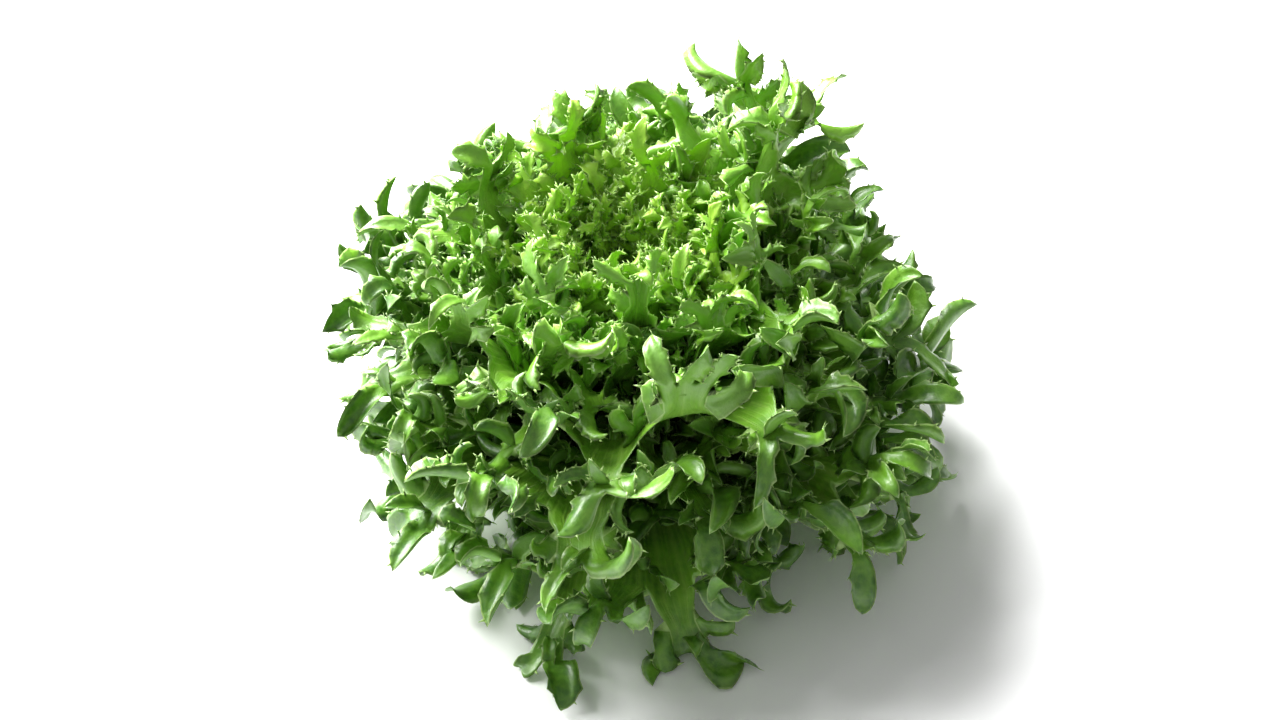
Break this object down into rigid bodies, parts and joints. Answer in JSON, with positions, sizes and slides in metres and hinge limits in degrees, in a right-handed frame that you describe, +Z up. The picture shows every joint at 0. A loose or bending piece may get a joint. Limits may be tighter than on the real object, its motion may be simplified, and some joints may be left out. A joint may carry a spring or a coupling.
{
  "type": "frilly lettuce head",
  "caption": "Loose head of frilly lettuce standing on its cut stem, leaves in a spiral with curled, lobed and toothed rims.",
  "frame": {"origin": "middle of the foot of the head's box, on the surface that the head stands on, 2 mm to the right of the middle of the cut stem and 4 mm behind it", "axes": "+Z up along the stem, -Y towards the side that the picture was taken from, +X to the right in the picture"},
  "size_m": [0.2532, 0.2818, 0.17],
  "materials": {
    "heart_leaf": "satin",
    "outer_leaf": "satin",
    "stem_flesh": "matt"
  },
  "bodies": {
    "root": {"stem": "stem_flesh", "leaf_01": "heart_leaf", "leaf_02": "heart_leaf", "leaf_03": "heart_leaf", "leaf_04": "heart_leaf", "leaf_05": "heart_leaf", "leaf_06": "heart_leaf", "leaf_07": "heart_leaf", "leaf_08": "heart_leaf", "leaf_09": "heart_leaf", "leaf_10": "heart_leaf", "leaf_11": "outer_leaf", "leaf_12": "outer_leaf", "leaf_13": "outer_leaf", "leaf_14": "outer_leaf", "leaf_15": "outer_leaf", "leaf_16": "outer_leaf", "leaf_17": "outer_leaf", "leaf_18": "outer_leaf", "leaf_19": "outer_leaf", "leaf_20": "outer_leaf", "leaf_21": "outer_leaf", "leaf_22": "outer_leaf", "leaf_23": "outer_leaf", "leaf_24": "outer_leaf", "leaf_25": "outer_leaf", "leaf_26": "outer_leaf", "leaf_27": "outer_leaf", "leaf_28": "outer_leaf", "leaf_29": "outer_leaf", "leaf_30": "outer_leaf", "leaf_31": "outer_leaf", "leaf_32": "outer_leaf"}
  },
  "joints": []
}
